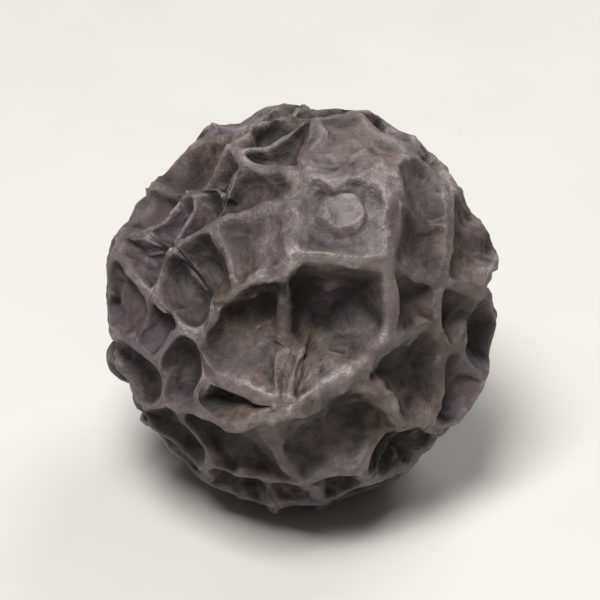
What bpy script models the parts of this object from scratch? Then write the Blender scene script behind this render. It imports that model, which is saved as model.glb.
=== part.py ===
"""A dried black peppercorn, one solid berry with the raised net of its shrunken skin.

Metres, +Z up, origin on the surface that the berry lies on. It lies on a small flat spot, with the
nub at its tip high in front (-Y) and the scar of its stalk low at the back (+Y).
"""

import math
import random

import bmesh
import bpy
from mathutils import Vector, noise

MM = 0.001

# Size of the berry over the crests of its net
BODY_DIAMETER = 5.0 * MM
BODY_RADIUS = BODY_DIAMETER / 2
STALK_AXIS_SHORTER = 0.04
BODY_LUMP = 0.36 * MM
BODY_LUMP_SPAN = 2.1 * MM
BODY_LUMP_DRAW = 178.4

# The flat spot it lies on: a square, with the skin rising gently round it and the valleys near it
# pressed out
REST_CORNERS = 4
REST_CORNER_RADIUS = 0.90 * MM
REST_TURN = math.radians(20)
REST_EDGE_SLOPE = 0.14
REST_HALF_WIDTH = 0.70 * MM
REST_PRESSED_FROM = 0.55 * MM
REST_PRESSED_TO = 1.15 * MM
FLAT_SPOT_ROUNDING = 0.001 * MM

# Crest lines of the net: their steps, how they wind and rise and fall, and how low faint ones are
RIDGE_STEP = 0.25 * MM
RIDGE_WINDING = 0.34 * MM
RIDGE_WINDING_SPAN = 0.60 * MM
RIDGE_WINDING_DRAWS = (1.3, 5.9, 8.2)
CREST_WAVE = 0.17 * MM
CREST_WAVE_SPAN = 0.9 * MM
CREST_WAVE_DRAW = 9.7
RIDGE_SAG = (0.00, 0.30)
RIDGE_SAG_ROUNDNESS = 0.7
FAINT_RIDGE_SAG = (0.45, 0.78)
FAINT_RIDGE_SHARE = 0.26
POOLED_RIDGE_SAG = (0.80, 0.94)
JUNCTION_MERGE = 0.17 * MM

# Slopes of a ridge: distance from the crest line, and share of the ridge's height there
RIDGE_SHOULDER = (0.10 * MM, 0.93)
RIDGE_FLANK = (0.19 * MM, 0.50)
RIDGE_FOOT = (0.30 * MM, 0.14)
FULL_WIDTH_REACH = 0.50 * MM
RIDGE_WIDTH_CHANGE = 0.75
RIDGE_WIDTH_SPAN = 1.1 * MM
RIDGE_WIDTH_DRAW = 40.0

# Valleys between the ridges, and the lower folds that run from the ridges into them
DEPTH_SHALLOW = 0.26 * MM
DEPTH_DEEP = 0.60 * MM
FLOOR_WAVE = 0.06 * MM
FLOOR_WAVE_SPAN = 0.45 * MM
FLOOR_WAVE_DRAW = 2.3
FLOOR_RING_SHARE = 0.5
FLOOR_RING_LOWEST = 0.03
FLOOR_RING_RISE = 0.7
FOLD_HEIGHT = (0.40, 1.00)
MORE_FOLDS_IN_WIDE_CELLS = 2.6
FOLDS_FEW_AND_MANY = (0.30 * MM, 0.75 * MM)
FOLD_UNEVENNESS = 0.3
FOLD_FADE = (0.85, 0.72, 0.52, 0.30)
FLOOR_SMOOTHINGS = 1
FLOOR_SMOOTHING = 0.5
CREST_SMOOTHING = 0.45

# The net's cells away from the front, by the room that each takes to either side
CELL_WIDEST = 0.54 * MM
CELL_NARROWEST = 0.30 * MM
CELL_SIZE_CHANGE = (0.50, 1.20)
CELL_RISE = (0.0, 0.3)
CELL_PACKING = 0.88
CELL_TRIES = 60
CELL_SIZES = 14
NET_SEED = 88

# A viewer in front of the berry looks down on it at this angle
FRONT_LOOKS_DOWN = math.radians(32)

# Cells of the front: right and up of the middle as that viewer sees it, half width, depth, rise
# of the floor's middle towards the ridges, and the pool that it opens into (0 for none)
FRONT_CELLS = (
    (-0.52 * MM, -0.42 * MM, 0.56 * MM, 0.58 * MM, 0.00, 1),
    (0.40 * MM, -0.24 * MM, 0.70 * MM, 0.68 * MM, 0.00, 1),
    (-0.72 * MM, -1.85 * MM, 0.68 * MM, 0.44 * MM, 0.00, 0),
    (0.52 * MM, -1.68 * MM, 0.60 * MM, 0.40 * MM, 0.10, 0),
    (1.36 * MM, -0.98 * MM, 0.46 * MM, 0.34 * MM, 0.15, 0),
    (-1.50 * MM, -0.84 * MM, 0.27 * MM, 0.40 * MM, 0.00, 0),
    (-2.05 * MM, -0.95 * MM, 0.45 * MM, 0.38 * MM, 0.10, 0),
    (-1.22 * MM, 0.46 * MM, 0.25 * MM, 0.44 * MM, 0.00, 2),
    (-1.50 * MM, 0.14 * MM, 0.25 * MM, 0.44 * MM, 0.00, 2),
    (-2.05 * MM, 0.62 * MM, 0.30 * MM, 0.30 * MM, 0.00, 3),
    (-1.70 * MM, 1.10 * MM, 0.30 * MM, 0.30 * MM, 0.00, 3),
    (-1.10 * MM, 1.56 * MM, 0.28 * MM, 0.34 * MM, 0.00, 0),
    (-0.52 * MM, 1.42 * MM, 0.26 * MM, 0.30 * MM, 0.00, 0),
    (-0.48 * MM, 0.72 * MM, 0.34 * MM, 0.12 * MM, 0.35, 0),
    (0.60 * MM, 1.92 * MM, 0.58 * MM, 0.12 * MM, 0.40, 0),
    (1.46 * MM, -0.05 * MM, 0.27 * MM, 0.34 * MM, 0.00, 0),
    (2.02 * MM, -0.22 * MM, 0.28 * MM, 0.40 * MM, 0.00, 0),
    (1.50 * MM, 0.74 * MM, 0.36 * MM, 0.24 * MM, 0.20, 4),
    (1.42 * MM, 1.42 * MM, 0.34 * MM, 0.24 * MM, 0.20, 4),
    (2.10 * MM, 0.66 * MM, 0.34 * MM, 0.30 * MM, 0.00, 0),
    (2.05 * MM, -1.05 * MM, 0.42 * MM, 0.34 * MM, 0.10, 0),
)

# The nub that the flower leaves at the tip, ringed by a low ridge that hardly winds, and the scar
# of the stalk. Each floor has round rings: the share of the way from the foot of the ridge to the
# middle, and of the ridge's height there
TIP_RIGHT = 0.55 * MM
TIP_UP = 0.92 * MM
TIP_HALF_WIDTH = 0.56 * MM
TIP_DEPTH = 0.18 * MM
TIP_FLOOR = ((0.12, 0.00), (0.32, 0.85), (1.00, 1.15))
TIP_EVEN_WITHIN = 0.45 * MM
TIP_WINDING_FROM = 1.20 * MM
STALK_BACK_DOWN = math.radians(30)
STALK_ASIDE = math.radians(12)
STALK_HALF_WIDTH = 0.50 * MM
STALK_DEPTH = 0.20 * MM
STALK_FLOOR = ((0.30, 0.05), (0.50, 0.45), (1.00, 0.20))
CELLS_ROUND_STALK = 7
CELL_ROUND_STALK_WIDTH = 0.42 * MM
CELL_ROUND_STALK_PACKING = 0.70
STALK_UNEVENNESS = 0.18

SKIN_COLOUR = (0.072, 0.056, 0.052, 1.0)
SKIN_ROUGHNESS = 0.62

VIEWER_RIGHT = Vector((1, 0, 0))
VIEWER_UP = Vector((0, math.sin(FRONT_LOOKS_DOWN), math.cos(FRONT_LOOKS_DOWN)))
TO_VIEWER = Vector((0, -math.cos(FRONT_LOOKS_DOWN), math.sin(FRONT_LOOKS_DOWN)))
DOWN = Vector((0, 0, -1))


def front_direction(right, up):
    """Direction from the middle of the berry to a point that the viewer sees right and up of it."""
    towards = math.sqrt(BODY_RADIUS**2 - right**2 - up**2)
    return (VIEWER_RIGHT * right + VIEWER_UP * up + TO_VIEWER * towards).normalized()


TIP = front_direction(TIP_RIGHT, TIP_UP)
STALK = Vector((
    math.sin(STALK_ASIDE) * math.cos(STALK_BACK_DOWN),
    math.cos(STALK_ASIDE) * math.cos(STALK_BACK_DOWN),
    -math.sin(STALK_BACK_DOWN),
))


class Cell:
    """One mesh of the net: its middle, half width, depth, floor, and pool that it opens into."""

    def __init__(self, middle, half_width, depth, floor=None, rise=0.0, pool=0, folds=True):
        self.middle = middle.normalized()
        self.spread = half_width / BODY_RADIUS
        self.depth = depth
        ring = (FLOOR_RING_SHARE, FLOOR_RING_LOWEST + FLOOR_RING_RISE * rise)
        self.floor = floor or (ring, (1.0, rise))
        self.round_floor = floor is not None
        self.pool = pool
        self.folds = folds


def smooth_step(low, high, value):
    share = min(1.0, max(0.0, (value - low) / (high - low)))
    return share * share * (3 - 2 * share)


def waves(direction, span, draw):
    """Smooth noise over the berry from about -1 to 1, with lumps as wide as span."""
    return noise.noise(direction * (BODY_RADIUS / span) + Vector((draw, draw * 2, -draw)))


def crest_radius(direction):
    """Distance from the middle of the berry to the crests of the net."""
    along_stalk = direction.dot(STALK) ** 2
    body = BODY_RADIUS * (1 - STALK_AXIS_SHORTER * along_stalk)
    lump = BODY_LUMP * waves(direction, BODY_LUMP_SPAN, BODY_LUMP_DRAW)
    return body + lump + CREST_WAVE * waves(direction, CREST_WAVE_SPAN, CREST_WAVE_DRAW)


def valley_radius(direction, cell):
    """Distance from the middle of the berry to the floor of a cell."""
    floor = crest_radius(direction) - cell.depth
    return floor + FLOOR_WAVE * waves(direction, FLOOR_WAVE_SPAN, FLOOR_WAVE_DRAW)


def ridge_width(direction):
    """How much wider or narrower than usual a ridge is there."""
    return 1 + RIDGE_WIDTH_CHANGE * waves(direction, RIDGE_WIDTH_SPAN, RIDGE_WIDTH_DRAW)


def has_room(middle, spread, cells):
    return all(
        middle.angle(cell.middle) >= CELL_PACKING * (spread + cell.spread)
        for cell in cells
    )


def random_direction(rng):
    height = rng.uniform(-1, 1)
    turn = rng.uniform(0, 2 * math.pi)
    flat = math.sqrt(1 - height * height)
    return Vector((flat * math.cos(turn), flat * math.sin(turn), height))


def named_cells():
    """The flat spot, the tip, the stalk scar and the cells of the front."""
    cells = [
        Cell(DOWN, REST_HALF_WIDTH, DEPTH_SHALLOW, folds=False),
        Cell(TIP, TIP_HALF_WIDTH, TIP_DEPTH, TIP_FLOOR, folds=False),
        Cell(STALK, STALK_HALF_WIDTH, STALK_DEPTH, STALK_FLOOR, folds=False),
    ]
    for right, up, half_width, depth, rise, pool in FRONT_CELLS:
        middle = front_direction(right, up)
        cells.append(Cell(middle, half_width, depth, rise=rise, pool=pool))
    return cells


def cells_round_stalk(rng, cells):
    """Cells that lie round the stalk scar like petals, where there is room for them."""
    side = STALK.orthogonal().normalized()
    other = STALK.cross(side)
    found = []
    for i in range(CELLS_ROUND_STALK):
        turn = 2 * math.pi * (i + rng.uniform(-STALK_UNEVENNESS, STALK_UNEVENNESS)) / CELLS_ROUND_STALK
        out = side * math.cos(turn) + other * math.sin(turn)
        tilt = (STALK_HALF_WIDTH + CELL_ROUND_STALK_WIDTH) / BODY_RADIUS
        tilt *= 1 + rng.uniform(0, STALK_UNEVENNESS)
        middle = STALK * math.cos(tilt) + out * math.sin(tilt)
        cell = Cell(middle, CELL_ROUND_STALK_WIDTH, rng.uniform(DEPTH_SHALLOW, DEPTH_DEEP))
        if has_room(cell.middle, cell.spread * CELL_ROUND_STALK_PACKING, cells):
            found.append(cell)
    return found


def lay_out_cells(rng):
    """All the cells: the named ones first, then wide to narrow ones wherever there is room."""
    cells = named_cells()
    cells += cells_round_stalk(rng, cells)
    for size in range(CELL_SIZES):
        share = size / (CELL_SIZES - 1)
        usual = CELL_WIDEST + (CELL_NARROWEST - CELL_WIDEST) * share
        for _ in range(CELL_TRIES):
            middle = random_direction(rng)
            half_width = usual * rng.uniform(*CELL_SIZE_CHANGE)
            if has_room(middle, half_width / BODY_RADIUS, cells):
                depth = rng.uniform(DEPTH_SHALLOW, DEPTH_DEEP)
                cells.append(Cell(middle, half_width, depth, rise=rng.uniform(*CELL_RISE)))
    return cells


def wound(direction):
    """The direction shifted sideways a little, so that ridges wind as shrunken skin does."""
    from_tip = direction.angle(TIP) * BODY_RADIUS
    winding = RIDGE_WINDING / BODY_RADIUS * smooth_step(TIP_EVEN_WITHIN, TIP_WINDING_FROM, from_tip)
    drift = Vector([waves(direction, RIDGE_WINDING_SPAN, draw) for draw in RIDGE_WINDING_DRAWS])
    return (direction + drift * winding).normalized()


def in_order(corners):
    """The places of a hull face's or edge's corners in the list of cells, lowest first."""
    return sorted(corner.index for corner in corners.verts)


def find_junctions(hull, berry):
    """One vertex where three cells meet, for each face of the hull, with near ones made one."""
    junctions = {}
    for face in sorted(hull.faces, key=in_order):
        first, second, third = (hull.verts[i].co for i in in_order(face))
        direction = (second - first).cross(third - first).normalized()
        if direction.dot(first) < 0:
            direction.negate()
        direction = wound(direction)
        place = direction * crest_radius(direction)
        near = [v for v in junctions.values() if (v.co - place).length < JUNCTION_MERGE]
        junctions[face] = near[0] if near else berry.verts.new(place)
    return junctions


def ridge_line(berry, start, end, sag):
    """The crest from one junction to the next, lower in the middle than at its ends."""
    first, last = start.co.normalized(), end.co.normalized()
    length = first.angle(last) * BODY_RADIUS
    steps = max(1, round(length / RIDGE_STEP))
    line = [start]
    for step in range(1, steps):
        share = step / steps
        straight = first.slerp(last, share)
        direction = straight.lerp(wound(straight), math.sin(math.pi * share)).normalized()
        radius = crest_radius(direction) - sag * math.sin(math.pi * share) ** RIDGE_SAG_ROUNDNESS
        line.append(berry.verts.new(direction * radius))
    return line + [end]


def grow_ridges(hull, cell_at, junctions, berry, rng):
    """The crest line between each two cells that are neighbours."""
    ridges = {}
    for edge in sorted(hull.edges, key=in_order):
        first, second = (cell_at[corner] for corner in edge.verts)
        start, end = (junctions[face] for face in sorted(edge.link_faces, key=in_order))
        if start is end:
            continue
        if first.pool and first.pool == second.pool:
            sag = rng.uniform(*POOLED_RIDGE_SAG)
        elif rng.random() < FAINT_RIDGE_SHARE and not (first.pool or second.pool):
            sag = rng.uniform(*FAINT_RIDGE_SAG)
        else:
            sag = rng.uniform(*RIDGE_SAG)
        depth = min(first.depth, second.depth)
        ridges[edge] = ridge_line(berry, start, end, sag * depth)
    return ridges


def border_of(corner, cell, ridges):
    """The crest vertices round one cell, anticlockwise seen from outside."""
    side = cell.middle.orthogonal().normalized()
    other = cell.middle.cross(side)

    def turn(edge):
        neighbour = edge.other_vert(corner).co
        return math.atan2(neighbour.dot(other), neighbour.dot(side))

    border = []
    for edge in sorted(corner.link_edges, key=turn):
        if edge not in ridges:
            continue
        line = ridges[edge]
        if line[0].co.cross(line[-1].co).dot(cell.middle) < 0:
            line = line[::-1]
        border += line[:-1]
    return border


def choose_folds(border, cell, rng):
    """Crest vertices from which a lower fold runs into the cell, and how high each one is."""
    if not cell.folds:
        return {}
    width = smooth_step(*FOLDS_FEW_AND_MANY, cell.spread * BODY_RADIUS)
    wanted = 1 + round(MORE_FOLDS_IN_WIDE_CELLS * width)
    start = rng.uniform(0, 1)
    folds = {}
    for i in range(wanted):
        share = (start + i + rng.uniform(-FOLD_UNEVENNESS, FOLD_UNEVENNESS)) / wanted
        place = 2 * round(share * len(border) / 2) % len(border)
        folds[place] = rng.uniform(*FOLD_HEIGHT)
    return folds


def slope_ring(berry, border, middle, cell, part, folds, fade):
    """A ring of vertices on the slope of the ridges round a cell."""
    reach, height = part
    ring = {}
    for i, crest in border:
        outer = crest.co.normalized()
        span = outer.angle(middle) * BODY_RADIUS
        narrowing = min(1.0, span / FULL_WIDTH_REACH)
        share = reach * ridge_width(outer) * narrowing / span
        direction = outer.slerp(middle, share)
        ridge = crest.co.length - valley_radius(outer, cell)
        lift = max(height, folds.get(i, 0.0) * fade)
        ring[i] = berry.verts.new(direction * (valley_radius(direction, cell) + ridge * lift))
    return ring


def floor_ring(berry, foot, middle, cell, part, folds):
    """A ring of vertices on the floor of a cell, a share of the way from the foot to the middle."""
    share, height = part
    usual_angle = sum(vertex.co.angle(middle) for vertex in foot.values()) / len(foot)
    ring = {}
    for i, vertex in foot.items():
        outer = vertex.co.normalized()
        rounding = usual_angle / outer.angle(middle) if cell.round_floor else 1
        direction = middle.slerp(outer, (1 - share) * rounding)
        lift = max(height, folds.get(i, 0.0) * FOLD_FADE[-1] * (1 - share))
        radius = valley_radius(direction, cell) + cell.depth * lift
        ring[i] = berry.verts.new(direction * radius)
    return ring


def join_rings(berry, outer, inner):
    """Faces between two rings, the inner one with a vertex for all or for half of the outer's."""
    places = sorted(outer)
    for place, following in zip(places, places[1:] + places[:1]):
        near, far = inner.get(place), inner.get(following)
        if near and far:
            berry.faces.new((outer[place], outer[following], far, near))
        elif near:
            after = following + 1 if following + 1 in inner else 0
            berry.faces.new((outer[place], outer[following], near))
            berry.faces.new((outer[following], inner[after], near))
        else:
            berry.faces.new((outer[place], outer[following], far))


def fill_cell(berry, border, cell, rng):
    """The slopes of the ridges round one cell, and its valley floor. Gives the floor's vertices."""
    middle = sum((v.co.normalized() for v in border), Vector()).normalized()
    folds = choose_folds(border, cell, rng)
    crest = dict(enumerate(border))
    shoulder = slope_ring(berry, crest.items(), middle, cell, RIDGE_SHOULDER, folds, FOLD_FADE[0])
    flank = slope_ring(berry, crest.items(), middle, cell, RIDGE_FLANK, folds, FOLD_FADE[1])
    half = [(i, vertex) for i, vertex in crest.items() if i % 2 == 0]
    foot = slope_ring(berry, half, middle, cell, RIDGE_FOOT, folds, FOLD_FADE[2])
    join_rings(berry, crest, shoulder)
    join_rings(berry, shoulder, flank)
    join_rings(berry, flank, foot)
    outer = foot
    floors = list(foot.values())
    for part in cell.floor[:-1]:
        inner = floor_ring(berry, foot, middle, cell, part, folds)
        join_rings(berry, outer, inner)
        floors += inner.values()
        outer = inner
    height = cell.floor[-1][1]
    centre = berry.verts.new(middle * (valley_radius(middle, cell) + height * cell.depth))
    last = list(outer.values())
    for i in range(len(last)):
        berry.faces.new((last[i - 1], last[i], centre))
    return floors + [centre]


def soften(berry, crests, floors):
    """Rounds the crests a little along their lines, and lets the skin sag between the ridges."""
    moved = {}
    for vertex in crests:
        along = [e.other_vert(vertex).co for e in vertex.link_edges if e.other_vert(vertex) in crests]
        moved[vertex] = vertex.co.lerp(sum(along, Vector()) / len(along), CREST_SMOOTHING)
    for vertex, place in moved.items():
        vertex.co = place
    every_way = dict(use_axis_x=True, use_axis_y=True, use_axis_z=True)
    for _ in range(FLOOR_SMOOTHINGS):
        bmesh.ops.smooth_vert(berry, verts=floors, factor=FLOOR_SMOOTHING, **every_way)


def grow_net(berry, cells, rng):
    """The berry's skin: ridge lines between the cells, and each cell filled in."""
    hull = bmesh.new()
    cell_at = {}
    for cell in cells:
        cell_at[hull.verts.new(cell.middle / math.cos(cell.spread))] = cell
    hull.verts.index_update()
    bmesh.ops.convex_hull(hull, input=hull.verts)
    hull.verts.ensure_lookup_table()
    junctions = find_junctions(hull, berry)
    ridges = grow_ridges(hull, cell_at, junctions, berry, rng)
    crests = set(berry.verts)
    floors = []
    for corner, cell in cell_at.items():
        if corner.link_faces:
            floors += fill_cell(berry, border_of(corner, cell, ridges), cell, rng)
    soften(berry, crests, floors)
    hull.free()


def press_out_valleys(berry):
    """Raises the valleys of the underside to the crests, fully where the berry lies."""
    for vertex in berry.verts:
        direction = vertex.co.normalized()
        aside = direction.angle(DOWN) * BODY_RADIUS
        pressed = 1 - smooth_step(REST_PRESSED_FROM, REST_PRESSED_TO, aside)
        radius = vertex.co.length
        vertex.co = direction * (radius + (crest_radius(direction) - radius) * pressed)


def flatten_rest_spot(berry):
    """Flattens a square under the berry, so that it lies on four corners round its weight."""
    level = -math.cos(REST_CORNER_RADIUS / BODY_RADIUS) * crest_radius(DOWN)
    inner = REST_CORNER_RADIUS * math.cos(math.pi / REST_CORNERS)
    step = 2 * math.pi / REST_CORNERS
    corners, sides = [], []
    for i in range(REST_CORNERS):
        turn = REST_TURN + i * step
        place = Vector((math.cos(turn), math.sin(turn), 0)) * REST_CORNER_RADIUS
        corners.append(place + Vector((0, 0, level)))
        sides.append(Vector((math.cos(turn + step / 2), math.sin(turn + step / 2), 0)))
    halfway_down = level / 2
    underside = [v for v in berry.verts if v.co.z < halfway_down]
    for corner in corners:
        min(underside, key=lambda v: (v.co - corner).length).co = corner
    for vertex in underside:
        outside = max(vertex.co.dot(side) for side in sides) - inner
        if outside <= FLAT_SPOT_ROUNDING:
            vertex.co.z = level
        else:
            vertex.co.z = max(vertex.co.z, level + REST_EDGE_SLOPE * outside)


def stand_on_origin(berry):
    """Moves the berry so that the middle of its outline is over the origin, at its lowest level."""
    lows, highs = [], []
    for axis in range(3):
        values = [vertex.co[axis] for vertex in berry.verts]
        lows.append(min(values))
        highs.append(max(values))
    foot = Vector(((lows[0] + highs[0]) / 2, (lows[1] + highs[1]) / 2, lows[2]))
    bmesh.ops.translate(berry, verts=berry.verts, vec=-foot)


def skin_material():
    """Dried fruit skin, brown black and dull."""
    material = bpy.data.materials.new("dried_skin")
    material.use_nodes = True
    shader = material.node_tree.nodes["Principled BSDF"]
    shader.inputs["Base Color"].default_value = SKIN_COLOUR
    shader.inputs["Roughness"].default_value = SKIN_ROUGHNESS
    shader.inputs["Metallic"].default_value = 0.0
    return material


def build():
    for old in list(bpy.data.objects):
        bpy.data.objects.remove(old)
    rng = random.Random(NET_SEED)
    berry = bmesh.new()
    grow_net(berry, lay_out_cells(rng), rng)
    press_out_valleys(berry)
    flatten_rest_spot(berry)
    stand_on_origin(berry)
    bmesh.ops.recalc_face_normals(berry, faces=berry.faces)
    mesh = bpy.data.meshes.new("peppercorn")
    berry.to_mesh(mesh)
    berry.free()
    mesh.materials.append(skin_material())
    mesh.shade_smooth()
    peppercorn = bpy.data.objects.new("peppercorn", mesh)
    bpy.context.scene.collection.objects.link(peppercorn)


build()
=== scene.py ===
"""A dried black peppercorn, dressed for its picture: wrinkled skin, card floor, light and camera."""

import math

import bmesh
import bpy
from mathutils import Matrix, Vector, noise


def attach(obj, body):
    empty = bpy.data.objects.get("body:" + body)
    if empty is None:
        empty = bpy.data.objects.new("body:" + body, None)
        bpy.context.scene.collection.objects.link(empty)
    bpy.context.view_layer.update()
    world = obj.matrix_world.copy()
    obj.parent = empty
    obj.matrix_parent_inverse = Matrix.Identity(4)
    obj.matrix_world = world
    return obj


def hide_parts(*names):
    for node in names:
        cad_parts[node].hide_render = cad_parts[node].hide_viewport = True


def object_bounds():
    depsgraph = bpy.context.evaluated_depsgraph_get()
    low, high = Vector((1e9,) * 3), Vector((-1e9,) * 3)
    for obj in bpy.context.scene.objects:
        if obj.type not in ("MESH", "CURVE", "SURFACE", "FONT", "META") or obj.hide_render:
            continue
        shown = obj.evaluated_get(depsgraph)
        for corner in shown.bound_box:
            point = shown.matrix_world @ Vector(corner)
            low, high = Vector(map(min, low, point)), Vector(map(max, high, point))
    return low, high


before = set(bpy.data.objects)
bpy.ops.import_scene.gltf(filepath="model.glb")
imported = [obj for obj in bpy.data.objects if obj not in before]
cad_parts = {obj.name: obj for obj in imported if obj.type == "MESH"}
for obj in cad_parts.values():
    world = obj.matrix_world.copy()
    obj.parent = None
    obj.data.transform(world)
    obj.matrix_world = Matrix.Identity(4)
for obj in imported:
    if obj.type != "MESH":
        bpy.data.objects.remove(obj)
cad_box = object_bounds()
MM = 0.001


# The berry
# The whole dried fruit of the pepper vine, one piece: a thin skin that shrank onto the stone as it
# dried in the sun and buckled into a net of ridges. The solid has the net already, so a copy of it
# is welded, its faces are paired again, and subdivision rounds it with its crests kept crisp.
WELD = 0.001 * MM
PAIRED_WITHIN = math.radians(50)
CREST_FROM = math.radians(16)
CREST_CRISPNESS = 0.40
ROUNDINGS = 2

skin = bpy.data.objects.new("wrinkled_skin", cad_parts["peppercorn"].data.copy())
bpy.context.scene.collection.objects.link(skin)
skin.data.materials.clear()
bpy.ops.object.select_all(action="DESELECT")
skin.select_set(True)
bpy.context.view_layer.objects.active = skin
bpy.ops.object.mode_set(mode="EDIT")
bpy.ops.mesh.select_all(action="SELECT")
bpy.ops.mesh.remove_doubles(threshold=WELD)
bpy.ops.mesh.tris_convert_to_quads(face_threshold=PAIRED_WITHIN, shape_threshold=PAIRED_WITHIN)
bpy.ops.mesh.select_all(action="DESELECT")
net = bmesh.from_edit_mesh(skin.data)
for edge in net.edges:
    edge.select_set(edge.calc_face_angle_signed(0) > CREST_FROM)
bmesh.update_edit_mesh(skin.data)
bpy.ops.transform.edge_crease(value=CREST_CRISPNESS)
bpy.ops.object.mode_set(mode="OBJECT")
rounding = skin.modifiers.new("rounding", "SUBSURF")
rounding.levels = rounding.render_levels = ROUNDINGS
bpy.ops.object.modifier_apply(modifier=rounding.name)
bpy.ops.object.shade_smooth()


# The fine wrinkles
# Between its ridges the dried skin has a much finer net of creases, small rumples all over, and no
# edge that runs quite straight. So it is raised along its normals and shifted a little every way,
# except where the berry lies.
CREASE_SPAN = 0.50 * MM
CREASE_HEIGHT = 0.034 * MM
CREASE_SHARPNESS = 0.15
CREASE_DRIFT = 0.16 * MM
CREASE_DRIFT_SPAN = 0.40 * MM
CREASE_DRIFT_DRAWS = (3.1, 7.7, 11.9)

# Rumples by span and height, and the share of each height by which the skin is lowered first, so
# that the berry doesn't swell
RUMPLES = ((0.40 * MM, 0.026 * MM), (0.20 * MM, 0.018 * MM), (0.10 * MM, 0.010 * MM))
RUMPLE_SHARPNESS = 3
RUMPLE_LOWERING = 0.5
RUMPLE_DRAW = 17.0

# Patches where creases and rumples are stronger or fainter
PATCH_SPAN = 1.3 * MM
PATCH_USUAL = 0.6
PATCH_CHANGE = 0.9
PATCH_FAINTEST = 0.15
PATCH_DRAW = 5.3

# How far edges wander, and the heights over the floor between which all of this comes in
WANDER = 0.055 * MM
WANDER_SPAN = 0.42 * MM
WANDER_DRAWS = (21.3, 27.1, 33.8)
FADE_FROM = 0.02 * MM
FADE_TO = 0.22 * MM


def ripple(place, span, draw):
    """Smooth noise from about -1 to 1, with lumps as wide as span."""
    return noise.noise(place / span + Vector((draw, -draw, 2 * draw)))


def drift(place, span, draws):
    """A direction and strength that change smoothly from place to place."""
    return Vector([ripple(place, span, draw) for draw in draws])


def crease(place):
    """The fine net: 1 on its crests, which run midway between scattered points, and 0 off them."""
    shift = drift(place, CREASE_DRIFT_SPAN, CREASE_DRIFT_DRAWS) * CREASE_DRIFT
    near, next_near = noise.voronoi((place + shift) / CREASE_SPAN)[0][:2]
    return math.exp(-(next_near - near) / CREASE_SHARPNESS)


def rumple(place, span, draw):
    """Winding crests as far apart as span: 1 on a crest, falling off sharply beside it."""
    return (1 - abs(ripple(place, span, draw))) ** RUMPLE_SHARPNESS


def fade(height):
    """0 where the berry lies on the floor, 1 from a little above it."""
    share = min(1.0, max(0.0, (height - FADE_FROM) / (FADE_TO - FADE_FROM)))
    return share * share * (3 - 2 * share)


moves = []
for vertex in skin.data.vertices:
    place = vertex.co
    patch = PATCH_USUAL + PATCH_CHANGE * ripple(place, PATCH_SPAN, PATCH_DRAW)
    patch = max(PATCH_FAINTEST, patch)
    lift = CREASE_HEIGHT * patch * crease(place)
    for order, (span, height) in enumerate(RUMPLES):
        crest = rumple(place, span, RUMPLE_DRAW + order)
        lift += height * (patch * crest - RUMPLE_LOWERING)
    wander = drift(place, WANDER_SPAN, WANDER_DRAWS) * WANDER
    moves.append((vertex.normal * lift + wander) * fade(place.z))
for vertex, move in zip(skin.data.vertices, moves):
    vertex.co += move
    vertex.co.z = max(vertex.co.z, cad_box[0].z)


# What the colours follow
# The finish follows how high each spot stands over the skin round it, a ridge's width away and a
# hair's width away. Low spots are painted darker, as painted shade in the furrows and hollows, and
# high spots paler, partly from rubbing against other berries and partly as a painted highlight.
SMOOTHING = 0.5
RIDGE_SMOOTHINGS = 700
EDGE_SMOOTHINGS = 12


def keep_height(piece, name, smoothings):
    """Keeps, in millimetres, how far each spot stands out from the piece smoothed that often."""
    smooth = piece.modifiers.new("smooth", "SMOOTH")
    smooth.factor = SMOOTHING
    smooth.iterations = smoothings
    layer = bpy.context.evaluated_depsgraph_get()
    places = [vertex.co.copy() for vertex in piece.evaluated_get(layer).data.vertices]
    piece.modifiers.remove(smooth)
    heights = piece.data.attributes.new(name, "FLOAT", "POINT")
    for vertex, place in zip(piece.data.vertices, places):
        heights.data[vertex.index].value = (vertex.co - place).dot(vertex.normal) / MM


keep_height(skin, "ridge_height_mm", RIDGE_SMOOTHINGS)
keep_height(skin, "edge_height_mm", EDGE_SMOOTHINGS)


# Sun-dried pepper skin
# Picked green and dried in the sun until brown black: matt in the furrows, rubbed to a greyer,
# slightly waxy finish on the crests, with purple and tan patches. The furrows are painted darker as
# shade, and the crests paler, partly from wear and partly as a painted highlight. The grain of its
# dry pulp is really about 0.03 mm wide, and is drawn coarser so that it shows.
# The darkest colour is painted shade in the furrows and fine creases; the palest is partly rubbed
# crests and partly a painted highlight.
FURROW_SHADE = "100c0b"
SLOPE = "332a29"
CREST = "5c5251"
RUBBED_AND_HIGHLIT = "857b78"
PURPLE = "4b3d45"
TAN = "5c4b3d"
PULP_DARK = "a39f9d"
PATCH = 1.1 * MM
BLOT = 0.30 * MM
PULP_LUMP = 0.16 * MM
PULP_GRAIN = 0.075 * MM
NOISE_ROUGHNESS = 0.6
GRAIN_RISE = 0.024 * MM
GRAIN_IN_PULP = 0.7
UNEVENNESS_MM = 0.22
MATT = 0.76
WAXY = 0.46
SKIN_IOR = 1.48


def paint(code):
    """An sRGB hex colour as the linear colour that a shader takes."""
    parts = [int(code[i : i + 2], 16) / 255 for i in (0, 2, 4)]
    return [p / 12.92 if p <= 0.04045 else ((p + 0.055) / 1.055) ** 2.4 for p in parts] + [1.0]


def add(material, kind, inputs, output, **settings):
    """Adds a node and gives one output. An input is a value, or the output that it is linked to."""
    node = material.node_tree.nodes.new(kind)
    for name, value in settings.items():
        setattr(node, name, value)
    for key, value in inputs.items():
        if isinstance(value, bpy.types.NodeSocket):
            material.node_tree.links.new(value, node.inputs[key])
        else:
            node.inputs[key].default_value = value
    return node.outputs[output]


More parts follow.
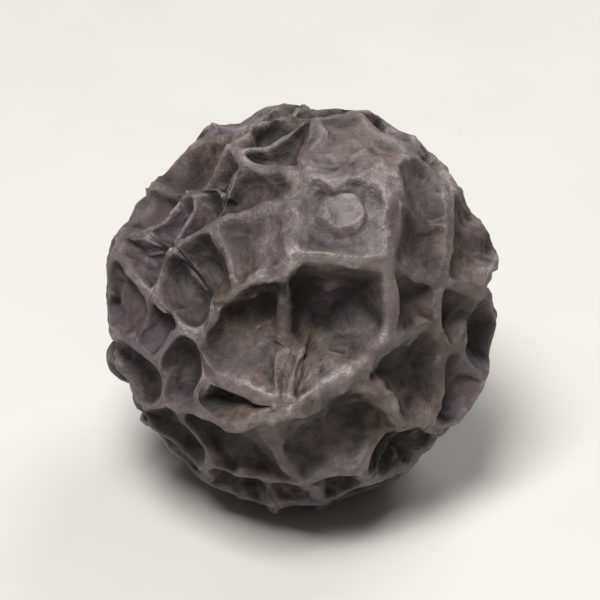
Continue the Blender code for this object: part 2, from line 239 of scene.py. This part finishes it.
pepper = bpy.data.materials.new("sun_dried_pepper_skin")
pepper.use_nodes = True
place = add(pepper, "ShaderNodeTexCoord", {}, "Object")
ridge = add(pepper, "ShaderNodeAttribute", {}, "Fac", attribute_name="ridge_height_mm")
edge = add(pepper, "ShaderNodeAttribute", {}, "Fac", attribute_name="edge_height_mm")
noises = {}
for name, size, detail in (
    ("patch", PATCH, 2.0),
    ("blot", BLOT, 4.0),
    ("lump", PULP_LUMP, 3.0),
    ("grain", PULP_GRAIN, 3.0),
):
    inputs = {"Vector": place, "Scale": 1 / size, "Detail": detail, "Roughness": NOISE_ROUGHNESS}
    noises[name] = add(pepper, "ShaderNodeTexNoise", inputs, "Fac")

# How much of each finish lies where: a value, and the ends between which it goes from 0 to 1.
# Heights are in millimetres, and the blots shift the ridge's, so that no two ridges are paled alike
inputs = {0: noises["blot"], 1: UNEVENNESS_MM, 2: ridge}
uneven = add(pepper, "ShaderNodeMath", inputs, 0, operation="MULTIPLY_ADD")
shares = {}
for name, value, low, high in (
    # Slope, crest and proud: darker low down as painted shade, paler high up, partly from wear and
    # partly as a painted highlight.
    ("slope", uneven, -0.11, 0.07),
    ("crest", uneven, -0.03, 0.27),
    ("proud", uneven, 0.18, 0.40),
    # Darker along the fine creases: painted shade.
    ("crease_shade", edge, -0.002, -0.011),
    # Paler along the fine crest edges: partly wear, partly a painted highlight.
    ("edge_wear_and_highlight", edge, 0.002, 0.016),
    ("wear_and_highlight_patch", noises["blot"], 0.36, 0.60),
    ("purple", noises["patch"], 0.50, 0.62),
    ("tan", noises["patch"], 0.48, 0.36),
    ("pulp", noises["lump"], 0.60, 0.38),
):
    inputs = {"Value": value, "From Min": low, "From Max": high}
    shares[name] = add(
        pepper, "ShaderNodeMapRange", inputs, "Result", interpolation_type="SMOOTHSTEP"
    )
inputs = {0: shares["edge_wear_and_highlight"], 1: shares["wear_and_highlight_patch"]}
worn_and_highlit_edges = add(pepper, "ShaderNodeMath", inputs, 0, operation="MULTIPLY")

# The finishes laid over one another: how, share, strongest share and colour of each
# Starts from the darkest colour, painted shade for the deepest hollows.
colour = paint(FURROW_SHADE)
for way, share, strongest, code in (
    ("MIX", shares["slope"], 1.0, SLOPE),
    ("MIX", shares["crest"], 1.0, CREST),
    ("MIX", shares["purple"], 0.45, PURPLE),
    ("MIX", shares["tan"], 0.40, TAN),
    # Paler on the highest ridges: partly wear, partly a painted highlight.
    ("MIX", shares["proud"], 0.45, RUBBED_AND_HIGHLIT),
    # Paler along fine crest edges in patches: partly wear, partly a painted highlight.
    ("MIX", worn_and_highlit_edges, 0.50, RUBBED_AND_HIGHLIT),
    # Darker in the fine creases: painted shade.
    ("MIX", shares["crease_shade"], 0.70, FURROW_SHADE),
    ("MULTIPLY", shares["pulp"], 0.50, PULP_DARK),
):
    strength = add(pepper, "ShaderNodeMath", {0: share, 1: strongest}, 0, operation="MULTIPLY")
    inputs = {0: strength, 6: colour, 7: paint(code)}
    colour = add(pepper, "ShaderNodeMix", inputs, 2, data_type="RGBA", blend_type=way)

inputs = {"Value": shares["crest"], "To Min": MATT, "To Max": WAXY}
rough = add(pepper, "ShaderNodeMapRange", inputs, "Result")
inputs = {0: noises["grain"], 1: GRAIN_IN_PULP, 2: noises["lump"]}
pulp = add(pepper, "ShaderNodeMath", inputs, 0, operation="MULTIPLY_ADD")
inputs = {"Height": pulp, "Strength": 1.0, "Distance": GRAIN_RISE}
bump = add(pepper, "ShaderNodeBump", inputs, "Normal")
shader = pepper.node_tree.nodes["Principled BSDF"]
shader.inputs["IOR"].default_value = SKIN_IOR
pepper.node_tree.links.new(colour, shader.inputs["Base Color"])
pepper.node_tree.links.new(rough, shader.inputs["Roughness"])
pepper.node_tree.links.new(bump, shader.inputs["Normal"])
skin.data.materials.append(pepper)
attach(skin, "root")
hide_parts("peppercorn")


# The floor
# A sheet of matt off-white card for the picture, with faintly uneven fibres. It is much wider than
# the berry, so that only card shows round it.
CARD_DARKER = "bab7b2"
CARD_LIGHTER = "c2bfba"
CARD_FIBRES = 2 * MM
CARD_FIBRE_DETAIL = 4.0
CARD_ROUGHNESS = 0.85
CARD_WIDTH = 600 * MM
card = bpy.data.materials.new("matt_card")
card.use_nodes = True
place = add(card, "ShaderNodeTexCoord", {}, "Object")
inputs = {"Vector": place, "Scale": 1 / CARD_FIBRES, "Detail": CARD_FIBRE_DETAIL}
fibres = add(card, "ShaderNodeTexNoise", inputs, "Fac")
inputs = {0: fibres, 6: paint(CARD_DARKER), 7: paint(CARD_LIGHTER)}
shade = add(card, "ShaderNodeMix", inputs, 2, data_type="RGBA")
card_shader = card.node_tree.nodes["Principled BSDF"]
card.node_tree.links.new(shade, card_shader.inputs["Base Color"])
card_shader.inputs["Roughness"].default_value = CARD_ROUGHNESS
bpy.ops.mesh.primitive_plane_add(size=CARD_WIDTH, location=(0, 0, cad_box[0].z))
floor = bpy.context.object
floor.name = "floor"
floor.data.materials.append(card)


# The light
# A wide soft window of light high on the left in front, a weaker one behind on the right that draws
# the far rim, and a pale room round them.
LAMP_DISTANCE = 60 * MM
ROOM_COLOUR = "e6e6ea"
ROOM_STRENGTH = 0.20
MIDDLE_HEIGHT = (cad_box[0].z + cad_box[1].z) / 2


def soft_light(name, azimuth, elevation, width, watts):
    """A square lamp that faces the berry. Azimuth 0 is in front, and 90 is on the right."""
    lamp = bpy.data.lights.new(name, "AREA")
    lamp.size = width
    lamp.energy = watts
    holder = bpy.data.objects.new(name, lamp)
    bpy.context.scene.collection.objects.link(holder)
    side, up = math.radians(azimuth), math.radians(elevation)
    away = Vector((math.sin(side) * math.cos(up), -math.cos(side) * math.cos(up), math.sin(up)))
    holder.location = Vector((0, 0, MIDDLE_HEIGHT)) + away * LAMP_DISTANCE
    holder.rotation_euler = away.to_track_quat("Z", "Y").to_euler()


soft_light("window", azimuth=-25, elevation=68, width=24 * MM, watts=0.058)
soft_light("rim", azimuth=145, elevation=46, width=30 * MM, watts=0.018)
room = bpy.data.worlds.new("room")
bpy.context.scene.world = room
room.use_nodes = True
background = room.node_tree.nodes["Background"]
background.inputs["Color"].default_value = paint(ROOM_COLOUR)
background.inputs["Strength"].default_value = ROOM_STRENGTH
bpy.context.scene.view_settings.view_transform = "Standard"


# The camera
# It looks down on the berry at the photograph's angle, from far off through a long lens, so that
# the berry is about two thirds of the picture's width.
LOOKS_DOWN = math.radians(32)
LENS = 180.0
SENSOR = 36.0
BERRY_SHARE = 0.66
CLIP_NEAR = 1 * MM
CLIP_FAR = 2000 * MM
lens = bpy.data.cameras.new("camera")
lens.lens = LENS
lens.sensor_width = SENSOR
lens.clip_start = CLIP_NEAR
lens.clip_end = CLIP_FAR
camera = bpy.data.objects.new("camera", lens)
bpy.context.scene.collection.objects.link(camera)
berry_width = cad_box[1].x - cad_box[0].x
distance = berry_width / BERRY_SHARE * LENS / SENSOR
away = Vector((0, -math.cos(LOOKS_DOWN), math.sin(LOOKS_DOWN)))
camera.location = Vector((0, 0, MIDDLE_HEIGHT)) + away * distance
camera.rotation_euler = away.to_track_quat("Z", "Y").to_euler()
bpy.context.scene.camera = camera
